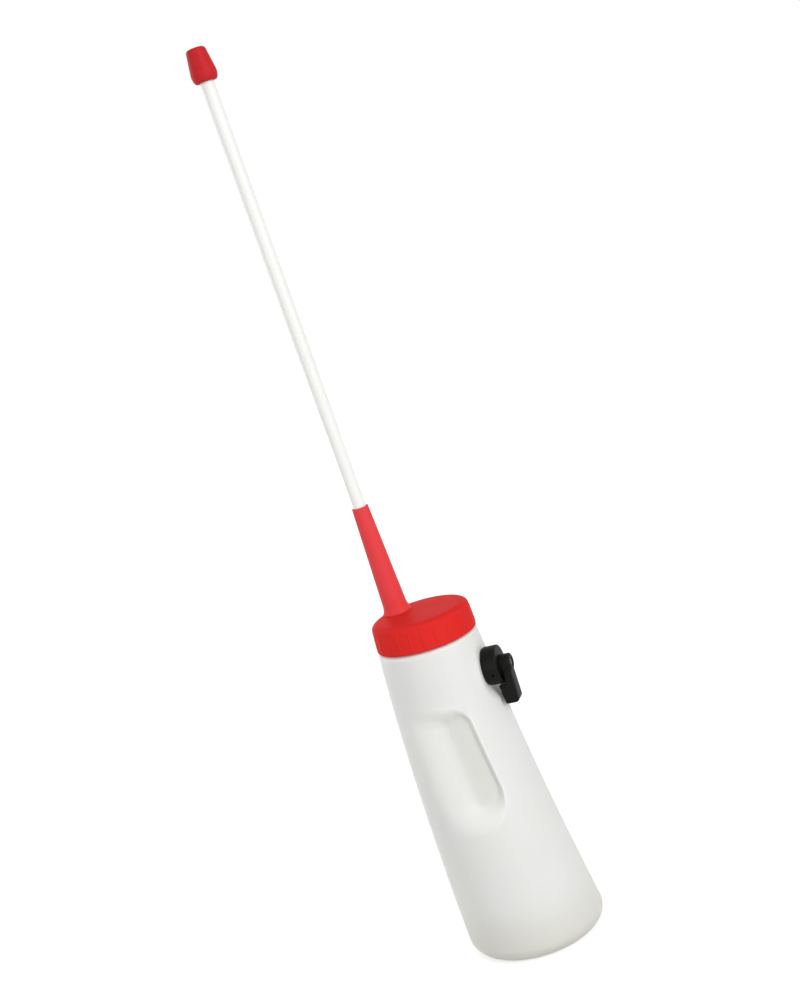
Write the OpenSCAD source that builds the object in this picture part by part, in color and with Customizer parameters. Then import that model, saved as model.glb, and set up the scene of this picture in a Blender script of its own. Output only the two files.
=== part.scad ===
// Livestock drencher: a blown bottle with pinch-grip hollows, a ribbed screw cap with a push-on
// spout, a stiff drench tube that ends in a rounded tip, and a quarter-turn air tap under the cap.
// Z is the axis of the mouth, the bottle stands on Z = 0, and the tap points along +X.

/* [Bottle] */
// Height from the standing surface to the ledge under the cap
bottle_h = 293; // [280:1:330]
// Widest diameter, just above the rounded foot
foot_d = 126; // [120:1:140]
// How far the foot is set from the axis of the mouth towards the tap
foot_shift = 18.5; // [8:0.5:20]
// Radius of the rounded foot
foot_r = 15; // [10:0.5:20]
// Thickness of the blown wall
bottle_wall = 2.2; // [1.8:0.1:2.8]
// Width of the flat ring that the bottle stands on
stand_w = 8; // [5:0.5:12]
// Height of the hollow under the foot
dish_h = 3; // [1:0.5:6]

/* [Neck] */
// Outside diameter of the neck, without its thread
neck_d = 82; // [76:1:88]
// Height of the neck above the ledge
neck_h = 20; // [18:0.5:25]
// Wall of the neck
neck_wall = 2.4; // [2:0.1:3]
// Radius where the side turns into the ledge
ledge_r = 4; // [3.5:0.5:6]
// How far the ledge stands out past the cap
ledge_lip = 0.2; // [0.1:0.1:2]

/* [Grip] */
// Distance from the ledge down to the top of the grip hollows
grip_drop = 50; // [46:1:60]
// Length of a grip hollow
grip_len = 113; // [90:1:120]
// Depth of a grip hollow
grip_depth = 8; // [5:0.5:12]
// Run of the upper and lower ends of a hollow
grip_end = 16; // [12:1:30]
// Distance round the side from the tap to the steep wall of a hollow
grip_edge = 47.5; // [44:0.5:56]
// Run of that steep wall
grip_steep = 3.4; // [3:0.1:8]
// Distance round the side from the tap to where a hollow runs out
grip_soft = 103; // [94:1:110]
// Run of that soft side
grip_soft_run = 36; // [24:1:40]
// Width of the rounded corners at the steep wall
grip_corner_w = 11; // [6:0.5:14]
// Length of those corners
grip_corner_l = 24; // [16:1:34]

/* [Cap] */
// Wall of the cap's skirt
cap_wall = 2.4; // [2.2:0.1:3.4]
// Thickness of the cap's top
cap_top_t = 4; // [3:0.1:5]
// Room for the threads between the neck and the skirt
thread_room = 2.2; // [1.8:0.1:3]
// How much narrower the skirt is at the top, on the radius
cap_draft = 1.1; // [0.4:0.1:1.8]
// Width of the cap's rounded shoulder
cap_edge_w = 8; // [3:0.1:9]
// Height of that shoulder
cap_edge_h = 5; // [3:0.1:6]
// Number of grip ribs round the cap
rib_n = 24; // [12:1:36]
// How far a grip rib stands out
rib_h = 0.5; // [0.3:0.1:1]
// Thickness of the sealing ring on the rim
seal_t = 2; // [1.5:0.1:3]

/* [Spout] */
// Height of the spout above the cap
spout_h = 101; // [90:1:120]
// Diameter of the spout just above its foot ring
spout_base_d = 22; // [21:0.5:24]
// Diameter of the spout at its top
spout_top_d = 15.2; // [14.6:0.1:18]
// Diameter of the foot ring that sits on the cap
spout_ring_d = 26; // [25:0.5:32]
// How far the foot ring stands in from the cap's top edge
spout_inset = 2.3; // [1:0.1:6]
// Direction of the spout on the tightened cap, from the tap
spout_a = 148; // [90:1:270]
// How far the spout and tube lean from upright
spout_lean_a = 2; // [0:0.5:4]
// Outside diameter of the nipple under the spout
nipple_d = 16; // [14:0.5:17]
// Height of the nipple above the cap
nipple_h = 25; // [18:1:34]

/* [Tube and tip] */
// Outside diameter of the drench tube
tube_d = 12; // [10:0.5:12.5]
// Bore of the drench tube
tube_bore_d = 9; // [7:0.5:9.5]
// Length of the drench tube from end to end
tube_len = 450; // [380:5:500]
// How deep the tube sits in the spout
tube_seat = 44; // [25:1:50]
// Largest diameter of the tip
tip_d = 23; // [20:0.2:26]
// Length of the tip
tip_len = 29.2; // [27:0.2:36]
// How deep the tube sits in the tip
tip_seat = 18; // [14:0.5:22]

/* [Tap] */
// Distance from the ledge down to the tap's axis
tap_drop = 37; // [35:0.5:42]
// Diameter of the tap's collar
collar_d = 34.6; // [33:0.2:37]
// Thickness of the collar
collar_t = 13; // [10:0.2:15]
// Diameter of the tail that passes through the wall
tail_d = 20; // [18:0.5:22]
// Thickness of the gasket behind the collar
gasket_t = 1; // [1:0.1:3]
// Width of the back nut across its flats
nut_w = 28; // [26:0.5:30]
// Thickness of the back nut
nut_t = 8; // [5:0.5:10]
// Diameter of the spindle that turns in the tap
spindle_d = 12; // [11:0.5:13]
// Bore that lets air through the spindle
air_d = 5; // [3.5:0.5:6]
// Diameter of the air inlet in the collar's side
inlet_d = 2.5; // [1.5:0.1:3]
// Diameter of the lever's hub
hub_d = 16; // [15:0.5:20]
// Height of the hub above the collar
hub_t = 9.8; // [8:0.2:12]
// How far the blade of the lever lies below the hub's face
blade_drop = 1.5; // [0.5:0.1:3]
// How far the blade reaches back past the collar's face, outside its rim
blade_back = 3.6; // [1:0.1:5]
// Length of the lever from the tap's axis
lever_len = 36; // [32:0.5:42]
// Width of the lever at its end
lever_w = 16; // [12:0.5:18]
// Turn of the lever from shut to open
lever_turn_a = 90; // [60:1:110]

/* [Hidden] */
$fn = 72;

// Overrun of every cut past the face that it opens
over = 1;
// Clearances: a push fit, a running fit on the radius, a running gap between faces, and a hole
push_gap = 0.05;
run_gap = 0.05;
face_gap = 0.2;
hole_gap = 0.25;

// Neck and cap heights, and the cap's radii
neck_r = neck_d / 2;
mouth_r = neck_r - neck_wall;
rim_z = bottle_h + neck_h;
cap_gap = 1;
cap_z = bottle_h + cap_gap;
cap_under_h = rim_z + seal_t - cap_z;
cap_h = cap_under_h + cap_top_t;
cap_top_z = cap_z + cap_h;
cap_bore_r = neck_r + thread_room;
cap_r = cap_bore_r + cap_wall;
cap_top_r = cap_r - cap_draft;
cap_corner = 0.8;
seal_lap = 1.2;
rib_r = 1.4;

// Bottle outline: the side runs straight from the rounded foot to the ledge
neck_root_share = 0.5;
neck_mid_r = (neck_r + mouth_r) / 2;
foot_half = foot_d / 2;
ledge_half = cap_r + ledge_lip;
side_top = bottle_h - ledge_r;
stand_out_r = foot_half - foot_r;
stand_in_r = stand_out_r - stand_w;
dish_slope_w = 5;
dish_r = stand_in_r - dish_slope_w;
grip_hi = bottle_h - grip_drop;
grip_lo = grip_hi - grip_len;
shift_power = 1.7;
arc_steps = 6;
ledge_steps = 3;
shoulder_steps = 8;

// Place of the tap: a flat round seat pressed into the wall, level with it at the seat's sides
tap_z = bottle_h - tap_drop;
pad_rim = 1;
pad_r = collar_d / 2 + pad_rim;
pad_t = 3;
pad_face_x = side_shift(tap_z) + sqrt(pow(side_r(tap_z), 2) - pow(pad_r, 2));
pad_back_r = pad_r + bottle_wall;

// Tap sizes along its axis, counted from the face of the pad
slip_t = 1.5;
slip_lap = 5;
tail_past = 2;
tail_len = pad_t + slip_t + nut_t + tail_past;
collar_z = gasket_t;
face_z = collar_z + collar_t;
collar_edge_r = 1.5;
spindle_r = spindle_d / 2;
spindle_lip = 2.5;
spindle_lip_t = 2;
inlet_share = 0.6;
inlet_z = collar_z + collar_t * inlet_share;
inlet_a = -75;
air_past = 0.5;
o_ring_d = 1.4;
o_ring_slack = 0.03;
o_ring_zs = [(inlet_z + inlet_d / 2 + face_z) / 2, -tail_len / 2];
drive_w = spindle_r * sqrt(2) - o_ring_d / 2;
screw_head_d = 7;
screw_head_t = 1.8;
screw_d = 3;
screw_grip = 6;
head_room = 0.4;
web_t = 2;
lever_z = face_z + face_gap;
lever_top_z = lever_z + hub_t;
head_z = lever_top_z - head_room - screw_head_t;
drive_top_z = head_z - web_t - face_gap;
stop_r = (hub_d + collar_d) / 4;
stop_d = 2.4;
stop_depth = 2;
lever_neck_share = 0.82;
rim_gap = 0.6;
lever_corner_r = 3;

// Spout, tube and tip heights
spout_x = cap_top_r - spout_inset - spout_ring_d / 2;
spout_ring_t = 4;
spout_seat_rim = 0.4;
spout_bead_r = 1.4;
spout_lip_r = 0.6;
spout_lean_to_a = 198;
nipple_wall = 3;
passage_r = nipple_d / 2 - nipple_wall;
tube_r = tube_d / 2;
tube_z = cap_top_z + spout_h - tube_seat;
tip_z = tube_z + tube_len - tip_seat;
tip_foot_t = 2.6;
tip_foot_r = tube_r + tip_foot_t;
tip_belly_z = 8;
tip_top_r = 8.9;
tip_round_r = 3.5;

// Smooth step from 0 to 1
function smooth(x) = let (c = min(max(x, 0), 1)) c * c * (3 - 2 * c);

// Even steps from a towards b, without b itself
function spread(a, b, n) = [for (i = [0 : n - 1]) a + (b - a) * i / n];

// Points of an arc about a centre
function arc(c, r, a0, a1, n) =
    [for (i = [0 : n]) let (a = a0 + (a1 - a0) * i / n) [c[0] + r * cos(a), c[1] + r * sin(a)]];

// The bottle's side at a height: 0 at the rounded foot and 1 under the ledge, radius and centre
function rise(z) = min(max((z - foot_r) / (side_top - foot_r), 0), 1);
function side_r(z) = foot_half + (ledge_half - foot_half) * rise(z);
function side_shift(z) = foot_shift * pow(1 - rise(z), shift_power);

// Angle of a distance round the side, at a height
function round_a(s, z) = s / side_r(z) * 180 / PI;

// Distance from the nearer end of a hollow, and how far its steep wall bends in at a corner there
function to_end(z) = min(z - grip_lo, grip_hi - z);
function bend(z) =
    let (c = min(max(1 - to_end(z) / grip_corner_l, 0), 1))
    grip_corner_w * (1 - sqrt(1 - c * c));

// Share of the grip depth at an angle from the tap and a height; grow widens it for the inner wall
function hollow(a, z, grow) =
    let (s = a / 180 * PI * side_r(z))
    smooth((s - grip_edge - bend(z) + grow) / grip_steep)
    * smooth((grip_soft - s + grow) / grip_soft_run)
    * smooth((to_end(z) + grow) / grip_end);

// Angles of the points in a ring, closer together where the hollows turn in
function half_angles(z, grow) =
    let (edge = grip_edge + bend(z) - grow, edge_a = round_a(edge, z), full_a = round_a(edge + grip_steep, z),
        floor_a = round_a(grip_soft - grip_soft_run, z), soft_a = round_a(grip_soft + grow, z))
    concat(spread(0, edge_a, 7), spread(edge_a, full_a, 3), spread(full_a, floor_a, 2),
        spread(floor_a, soft_a, 5), spread(soft_a, 180, 7));
function ring_angles(z, grow) =
    let (half = half_angles(z, grow))
    concat(half, [180], [for (i = [len(half) - 1 : -1 : 1]) -half[i]]);

// Heights of the rings up the side
side_zs = concat(spread(foot_r, grip_lo, 5), spread(grip_lo, grip_lo + grip_end, 5),
    spread(grip_lo + grip_end, grip_hi - grip_end, 4), spread(grip_hi - grip_end, grip_hi, 5),
    spread(grip_hi, side_top, 3), [side_top]);

// A ring of the side, set in by the wall where it is the inner one, and a plain round ring
function side_ring(z, inset) =
    [for (a = ring_angles(z, inset))
        let (r = side_r(z) - inset - grip_depth * hollow(abs(a), z, inset))
        [side_shift(z) + r * cos(a), r * sin(a), z]];
function round_ring(r, z, shift) = [for (a = ring_angles(z, 0)) [shift + r * cos(a), r * sin(a), z]];

// Rings of the rounded foot and of the turn into the ledge, outside or set in by the wall
function foot_rings(inset) =
    [for (a = spread(0, 90, arc_steps))
        round_ring(stand_out_r + (foot_r - inset) * sin(a), foot_r - (foot_r - inset) * cos(a), foot_shift)];
function ledge_rings(inset) =
    [for (i = [1 : ledge_steps])
        let (a = 90 * i / ledge_steps, r = ledge_r - inset)
        round_ring(ledge_half - ledge_r + r * cos(a), side_top + r * sin(a), 0)];
function backwards(rings) = [for (i = [len(rings) - 1 : -1 : 0]) rings[i]];

// The blown shell as one closed skin: up the outside, over the ledge and down the inside
shell_rings = concat(
    [round_ring(dish_r, dish_h, foot_shift), round_ring(stand_in_r, 0, foot_shift)],
    foot_rings(0),
    [for (z = side_zs) side_ring(z, 0)],
    ledge_rings(0),
    [round_ring(neck_mid_r, bottle_h, 0), round_ring(neck_mid_r, bottle_h - bottle_wall, 0)],
    backwards(ledge_rings(bottle_wall)),
    backwards([for (z = side_zs) side_ring(z, bottle_wall)]),
    backwards(foot_rings(bottle_wall)),
    [round_ring(stand_in_r, bottle_wall, foot_shift), round_ring(dish_r, dish_h + bottle_wall, foot_shift)]);

// Closes a stack of rings into a solid
module skin(rings) {
    m = len(rings[0]);
    last = (len(rings) - 1) * m;
    sides = [for (i = [0 : len(rings) - 2], j = [0 : m - 1])
        let (k = (j + 1) % m, a = i * m + j, b = i * m + k, c = a + m, d = b + m)
        each [[a, c, d], [a, d, b]]];
    foot = [for (j = [0 : m - 1]) j];
    head = [for (j = [m - 1 : -1 : 0]) last + j];
    polyhedron([for (ring = rings) each ring], concat([foot], sides, [head]), convexity = 8);
}

// A plain ring of material
module ring(r_out, r_in, h) {
    difference() {
        cylinder(r = r_out, h = h);
        translate([0, 0, -over]) cylinder(r = r_in, h = h + over * 2);
    }
}

// Places children on the tap's axis: their Z points outwards and their X points down
module on_tap() {
    translate([pad_face_x, 0, tap_z]) rotate([0, 90, 0]) children();
}

// Places children on the spout's leaning axis, from the cap's top
module on_spout() {
    translate([spout_x * cos(spout_a), spout_x * sin(spout_a), cap_top_z])
        rotate(a = spout_lean_a, v = [-sin(spout_lean_to_a), cos(spout_lean_to_a), 0]) children();
}

// The thick wall behind the tap's seat: a disc that ends halfway through the wall round it
module tap_seat_backing() {
    foot_z = tap_z - pad_back_r - over;
    head_z = tap_z + pad_back_r + over;
    inset = bottle_wall / 2;
    intersection() {
        on_tap() translate([0, 0, -pad_t]) cylinder(r = pad_back_r, h = pad_back_r);
        translate([side_shift(tap_z), 0, foot_z])
            cylinder(r1 = side_r(foot_z) - inset, r2 = side_r(head_z) - inset, h = head_z - foot_z);
    }
}

// The blown bottle with its neck, grip hollows and the seat for the tap
module bottle_shell() {
    neck_root = bottle_wall * neck_root_share;
    color("whitesmoke") difference() {
        union() {
            skin(shell_rings);
            translate([0, 0, bottle_h - neck_root]) ring(neck_r, mouth_r, neck_h + neck_root);
            tap_seat_backing();
        }
        on_tap() cylinder(r = pad_r, h = pad_r);
        on_tap() translate([0, 0, -pad_t - over]) cylinder(r = tail_d / 2 + hole_gap, h = pad_t + over * 2);
    }
}

// The sealing ring between the rim and the cap
module cap_seal() {
    color("gainsboro") translate([0, 0, rim_z]) ring(neck_r + seal_lap, mouth_r - seal_lap, seal_t);
}

// The cap's outside, turned
module cap_blank() {
    rotate_extrude() polygon(concat([[0, 0], [cap_r, 0]],
        [for (a = spread(0, 90, shoulder_steps))
            [cap_top_r - cap_edge_w * (1 - cos(a)), cap_h - cap_edge_h * (1 - sin(a))]],
        [[cap_top_r - cap_edge_w, cap_h], [0, cap_h]]));
}

// Upright grip ribs that follow the draft of the skirt
module cap_ribs() {
    rib_len = cap_h - cap_edge_h - rib_r;
    lean = atan(cap_draft / cap_h);
    for (i = [0 : rib_n - 1])
        rotate([0, 0, 360 * i / rib_n])
            translate([cap_r + rib_h - rib_r, 0, rib_r])
                rotate([0, -lean, 0]) cylinder(r = rib_r, h = rib_len, $fn = 24);
}

// The screw cap with its ribbed skirt, the spout's flat seat on the shoulder, and the spout's nipple
module screw_cap() {
    color("crimson") difference() {
        union() {
            translate([0, 0, cap_z]) cap_blank();
            translate([0, 0, cap_z]) cap_ribs();
            translate([spout_x * cos(spout_a), spout_x * sin(spout_a), cap_top_z - cap_edge_h])
                cylinder(r = spout_ring_d / 2 + spout_seat_rim, h = cap_edge_h);
            on_spout() translate([0, 0, -cap_top_t / 2])
                cylinder(r = nipple_d / 2, h = cap_top_t / 2 + nipple_h);
        }
        translate([0, 0, cap_z - over]) cylinder(r = cap_bore_r, h = cap_under_h - cap_corner + over);
        translate([0, 0, cap_z + cap_under_h - cap_corner])
            cylinder(r1 = cap_bore_r, r2 = cap_bore_r - cap_corner, h = cap_corner);
        on_spout() translate([0, 0, -cap_top_t - over])
            cylinder(r = passage_r, h = cap_top_t + nipple_h + over * 2);
    }
}

// The tapered spout, pushed over the nipple, with the tube's socket at its top
module spout() {
    base_r = spout_base_d / 2;
    top_r = spout_top_d / 2;
    ring_r = spout_ring_d / 2;
    foot_extra = ring_r * sin(spout_lean_a) + over;
    nipple_end = nipple_h + face_gap;
    socket_foot = spout_h - tube_seat - push_gap;
    color("red") difference() {
        on_spout() difference() {
            rotate_extrude() polygon(concat([[0, -foot_extra], [ring_r, -foot_extra]],
                arc([ring_r - spout_bead_r, spout_ring_t - spout_bead_r], spout_bead_r, 0, 90, arc_steps),
                [[base_r, spout_ring_t]],
                arc([top_r - spout_lip_r, spout_h - spout_lip_r], spout_lip_r, 0, 90, arc_steps),
                [[0, spout_h]]));
            translate([0, 0, -foot_extra - over])
                cylinder(r = nipple_d / 2 + push_gap, h = nipple_end + foot_extra + over);
            translate([0, 0, nipple_end - over])
                cylinder(r = tube_bore_d / 2, h = socket_foot - nipple_end + over * 2);
            translate([0, 0, socket_foot]) cylinder(r = tube_r + push_gap, h = tube_seat + over);
        }
        translate([0, 0, cap_z]) cylinder(r = cap_r, h = cap_h);
    }
}

// The stiff drench tube
module drench_tube() {
    color("white") on_spout() translate([0, 0, tube_z - cap_top_z]) ring(tube_r, tube_bore_d / 2, tube_len);
}

// The rounded tip with its socket and outlet
module tube_tip() {
    belly_r = tip_d / 2;
    swell = [for (a = spread(0, 90, arc_steps))
        [tip_foot_r + (belly_r - tip_foot_r) * sin(a), tip_belly_z * (1 - cos(a))]];
    color("firebrick") on_spout() translate([0, 0, tip_z - cap_top_z]) difference() {
        rotate_extrude() polygon(concat([[0, 0]], swell, [[belly_r, tip_belly_z]],
            arc([tip_top_r - tip_round_r, tip_len - tip_round_r], tip_round_r, 0, 90, arc_steps),
            [[0, tip_len]]));
        translate([0, 0, -over]) cylinder(r = tube_r + push_gap, h = tip_seat + push_gap + over);
        cylinder(r = tube_bore_d / 2, h = tip_len + over);
    }
}

// The tap's body: collar outside the wall, tail through it, and the bore for the spindle
module tap_body() {
    collar_r = collar_d / 2;
    stop_room = asin((stop_d / 2 + face_gap) / stop_r);
    color("dimgray") on_tap() difference() {
        rotate_extrude() polygon(concat([[0, -tail_len], [tail_d / 2, -tail_len], [tail_d / 2, collar_z]],
            arc([collar_r - collar_edge_r, collar_z + collar_edge_r], collar_edge_r, -90, 0, arc_steps),
            arc([collar_r - collar_edge_r, face_z - collar_edge_r], collar_edge_r, 0, 90, arc_steps),
            [[0, face_z]]));
        translate([0, 0, -tail_len - over])
            cylinder(r = spindle_r + run_gap, h = tail_len + face_z + over * 2);
        rotate([0, 0, inlet_a]) translate([0, 0, inlet_z]) rotate([0, 90, 0])
            cylinder(d = inlet_d, h = collar_r + over);
        rotate([0, 0, -lever_turn_a - stop_room]) translate([0, 0, face_z - stop_depth - face_gap])
            rotate_extrude(angle = lever_turn_a + stop_room * 2)
                translate([stop_r - stop_d / 2 - face_gap, 0])
                    square([stop_d + face_gap * 2, stop_depth + face_gap + over]);
    }
}

// The gasket between the collar and the pad
module tap_gasket() {
    color("black") on_tap() ring(collar_d / 2 - pad_rim, tail_d / 2 + push_gap, gasket_t);
}

// The slip washer under the back nut
module tap_slip_washer() {
    color("white") on_tap() translate([0, 0, -pad_t - slip_t])
        ring(tail_d / 2 + slip_lap, tail_d / 2 + hole_gap, slip_t);
}

// The back nut that clamps the tap from inside the bottle
module tap_back_nut() {
    color("dimgray") on_tap() translate([0, 0, -pad_t - slip_t - nut_t]) difference() {
        cylinder(d = nut_w / cos(30), h = nut_t, $fn = 6);
        translate([0, 0, -over]) cylinder(r = tail_d / 2 + push_gap, h = nut_t + over * 2);
    }
}

// The turning spindle: inner lip, sealing grooves, air bore with its port, and a square drive
module tap_spindle() {
    foot_z = -tail_len - face_gap - spindle_lip_t;
    air_top = inlet_z + inlet_d / 2 + air_past;
    groove_in_r = spindle_r - o_ring_d;
    color("darkslategray") on_tap() difference() {
        union() {
            translate([0, 0, foot_z]) cylinder(r = spindle_r, h = face_z - foot_z);
            translate([0, 0, foot_z]) cylinder(r = spindle_r + spindle_lip, h = spindle_lip_t);
            translate([-drive_w / 2, -drive_w / 2, face_z - over])
                cube([drive_w, drive_w, drive_top_z - face_z + over]);
        }
        for (z = o_ring_zs)
            translate([0, 0, z - o_ring_d / 2]) ring(spindle_r + over, groove_in_r, o_ring_d);
        translate([0, 0, foot_z - over]) cylinder(d = air_d, h = air_top - foot_z + over);
        rotate([0, 0, inlet_a + lever_turn_a]) translate([0, 0, inlet_z]) rotate([0, 90, 0])
            cylinder(d = inlet_d, h = spindle_r + over);
        translate([0, 0, drive_top_z - screw_grip - face_gap])
            cylinder(r = screw_d / 2 + push_gap, h = screw_grip + face_gap + over);
    }
}

// The spindle's two sealing rings
module tap_o_rings() {
    color("black") on_tap() for (z = o_ring_zs)
        translate([0, 0, z]) rotate_extrude()
            translate([spindle_r - o_ring_d / 2, 0]) circle(d = o_ring_d - o_ring_slack * 2, $fn = 24);
}

// Outline of the lever's blade, which widens to a rounded end
module blade_outline() {
    end_half = lever_w / 2;
    end_x = lever_len - lever_corner_r;
    neck_half = end_half * lever_neck_share;
    polygon([[0, -neck_half], [end_x, -end_half], [end_x, end_half], [0, neck_half]]);
    translate([end_x - lever_corner_r, lever_corner_r - end_half])
        square([lever_corner_r * 2, lever_w - lever_corner_r * 2]);
    for (side = [-1, 1])
        translate([end_x, side * (end_half - lever_corner_r)]) circle(r = lever_corner_r);
}

// The lever on the spindle's square, with its stop pin and the screw's seat
module tap_lever() {
    socket_h = drive_top_z + face_gap - lever_z;
    socket_w = drive_w + push_gap * 2;
    blade_top_z = lever_top_z - blade_drop;
    blade_foot_z = face_z - blade_back;
    color("black") on_tap() difference() {
        union() {
            translate([0, 0, lever_z]) cylinder(d = hub_d, h = hub_t);
            difference() {
                translate([0, 0, blade_foot_z]) linear_extrude(blade_top_z - blade_foot_z) blade_outline();
                translate([0, 0, blade_foot_z - over])
                    cylinder(r = collar_d / 2 + rim_gap, h = lever_z - blade_foot_z + over);
            }
            translate([stop_r, 0, face_z - stop_depth])
                cylinder(d = stop_d, h = stop_depth + face_gap + over);
        }
        translate([-socket_w / 2, -socket_w / 2, lever_z - over])
            cube([socket_w, socket_w, socket_h + over]);
        translate([0, 0, lever_z]) cylinder(r = screw_d / 2 + hole_gap, h = hub_t);
        translate([0, 0, head_z])
            cylinder(r = screw_head_d / 2 + hole_gap, h = screw_head_t + head_room + over);
    }
}

// The screw that holds the lever on the spindle
module tap_screw() {
    shank = head_z - drive_top_z + screw_grip;
    color("slategray") on_tap() {
        translate([0, 0, head_z]) cylinder(d = screw_head_d, h = screw_head_t);
        translate([0, 0, head_z - shank]) cylinder(d = screw_d, h = shank + over);
    }
}

bottle_shell();
cap_seal();
screw_cap();
spout();
drench_tube();
tube_tip();
tap_body();
tap_gasket();
tap_slip_washer();
tap_back_nut();
tap_spindle();
tap_o_rings();
tap_lever();
tap_screw();
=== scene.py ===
"""Livestock drencher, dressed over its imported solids: a blown bottle with pinch-grip hollows, a ribbed
screw cap with a push-on spout, a stiff drench tube with a soft tip, and a quarter-turn air tap.

Shapes are made in millimetres, in the part's own frame, and are turned to metres when a piece is done.
"""
from math import asin, atan, cos, degrees, pi, radians, sin, sqrt

import bpy
from mathutils import Matrix, Vector


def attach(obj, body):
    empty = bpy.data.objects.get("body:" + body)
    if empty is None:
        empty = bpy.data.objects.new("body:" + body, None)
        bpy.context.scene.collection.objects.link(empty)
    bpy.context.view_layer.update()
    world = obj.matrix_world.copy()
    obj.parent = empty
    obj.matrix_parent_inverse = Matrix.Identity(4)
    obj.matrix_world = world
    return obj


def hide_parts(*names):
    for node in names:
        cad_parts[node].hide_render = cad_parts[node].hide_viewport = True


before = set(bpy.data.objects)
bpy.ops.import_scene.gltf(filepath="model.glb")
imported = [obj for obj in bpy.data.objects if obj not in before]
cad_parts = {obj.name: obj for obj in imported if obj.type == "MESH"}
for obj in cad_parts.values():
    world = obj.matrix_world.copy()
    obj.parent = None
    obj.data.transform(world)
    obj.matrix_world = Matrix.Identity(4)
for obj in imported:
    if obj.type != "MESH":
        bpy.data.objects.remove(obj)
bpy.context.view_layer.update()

MM = 0.001

# Bottle
BOTTLE_H = 293.0
FOOT_R = 63.0
FOOT_SHIFT = 18.5
SHIFT_POWER = 1.7
FOOT_ROUND = 15.0
WALL = 2.2
STAND_W = 8.0
DISH_H = 3.0
DISH_SLOPE_W = 5.0
LEDGE_ROUND = 4.0
LEDGE_R = 45.8
SIDE_TOP = BOTTLE_H - LEDGE_ROUND
NECK_R = 41.0
MOUTH_R = 38.6
RIM_Z = 313.0
RIM_ROUND = 0.8

# Grip hollows: heights, depth, and distances round the side from the tap
GRIP_LO = 123.0
GRIP_HI = 243.0
GRIP_DEPTH = 10.0
GRIP_EDGE = 47.5
GRIP_STEEP = 2.3
GRIP_STEEP_SHARE = 0.4
GRIP_GENTLE = 27.0
GRIP_SOFT = 113.0
GRIP_SOFT_RUN = 43.0
GRIP_LO_RUN = 30.0
GRIP_LO_CORNER_W = 34.0
GRIP_LO_CORNER_H = 38.0
GRIP_HI_RUN = 21.0
GRIP_HI_CORNER_W = 19.0
GRIP_HI_CORNER_H = 22.0
GRIP_MARGIN = 4.0

# Painted shade on the bottle: grey past a hollow's steep edge and over its lower end, and darker and warmer
# towards the foot
HOLLOW_SHADE_STARTS, HOLLOW_SHADE_FULL = -0.5, 1.0
HOLLOW_SHADE_FADES, HOLLOW_SHADE_ENDS = 12.0, 38.0
HOLLOW_SHADE_LO = 9.0
FOOT_SHADE_LO, FOOT_SHADE_HI = 5.0, 70.0

# The mould's parting line: half widths at its foot and top, and its height in grains
SEAM_FOOT, SEAM_TOP = 0.5, 0.1
SEAM_HEIGHT = 1.5

# Cap, and the thread that it runs on
CAP_Z = 294.0
CAP_H = 25.0
CAP_UNDER = 21.0
CAP_BORE_R = 43.2
CAP_R = 45.6
CAP_TOP_R = 44.5
CAP_EDGE_W = 8.0
CAP_EDGE_H = 5.0
CAP_CORNER = 0.8
RIB_COUNT = 24
RIB_HALF = 1.9
RIB_DEPTH = 1.2
RIB_OUT = 0.36
RIB_FOOT = 0.8
CAP_TOP_Z = CAP_Z + CAP_H
THREAD_PITCH = 6.0
THREAD_TURNS = 1.5
THREAD_R = 1.6
THREAD_Z = 297.5
THREAD_FADE = 0.12

# Spout, tube and tip along their leaning axis, from the cap's top
SPOUT_OUT = 29.2
SPOUT_AT = radians(148)
LEAN = radians(2)
LEAN_TO = radians(198)
SPOUT_H = 101.0
SPOUT_SINK = 1.5
SPOUT_FOOT_R = 13.0
SPOUT_TAPER_Z = 4.0
SPOUT_FLARE_H = 8.0
SPOUT_SEAT_R = 13.4
SPOUT_BASE_R = 11.0
SPOUT_TOP_R = 7.6
NIPPLE_R = 8.0
NIPPLE_H = 25.0
PASSAGE_R = 5.0
TUBE_R = 6.0
TUBE_BORE_R = 4.5
TUBE_Z = 57.0
TUBE_LEN = 450.0
TIP_Z = 489.0
TIP_LEN = 29.2
TIP_SEAT = 18.0
TIP_FOOT_R = 8.6
TIP_BELLY_R = 11.5
TIP_BELLY_Z = 8.0
TIP_TOP_R = 8.9
TIP_ROUND = 3.5
FIT = 0.05

# Tap along its axis, from the seat in the wall
TAP_Z = 256.0
SEAT_T = 3.0
COLLAR_R = 17.3
SEAT_R = COLLAR_R + 1.0
SEAT_RIM = 0.3
SEAT_BLEND = 13.0
TAIL_R = 10.0
TAIL_END = -14.5
TAIL_GAP = 0.25
COLLAR_BACK = 1.0
COLLAR_FACE = 14.0
COLLAR_EDGE = 1.5
SPINDLE_R = 6.0
INLET_Z = 8.8
INLET_R = 1.25
INLET_AT = radians(-75)
STOP_R = 12.65
STOP_PIN_R = 1.2
STOP_DEPTH = 2.0
STOP_GAP = 0.2
LEVER_FOOT = 14.2
HUB_R = 8.0
HUB_TOP = 24.0
HUB_ROUND = 2.0
BLADE_TOP = 22.5
BLADE_ROOT = 7.8
BLADE_FOOT = 10.4
BLADE_GAP = 0.7
BLADE_EDGE = 1.4
LEVER_LEN = 36.0
LEVER_HALF = 8.0
LEVER_NECK = 0.82
DRIVE_HALF = 3.95
DRIVE_TOP = 19.6
DRIVE_GAP = 0.2
HEAD_Z = 21.8
HEAD_T = 1.8
HEAD_R = 3.5
SHANK_R = 1.5
SHANK_FOOT = 13.6
SCREW_GAP = 0.25
RECESS_LEN = 2.0
RECESS_HALF = 0.35
RECESS_DEPTH = 1.3

# How far a cutter or a hidden root reaches past the shape that it cuts or joins
OVER = 1.0

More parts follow.
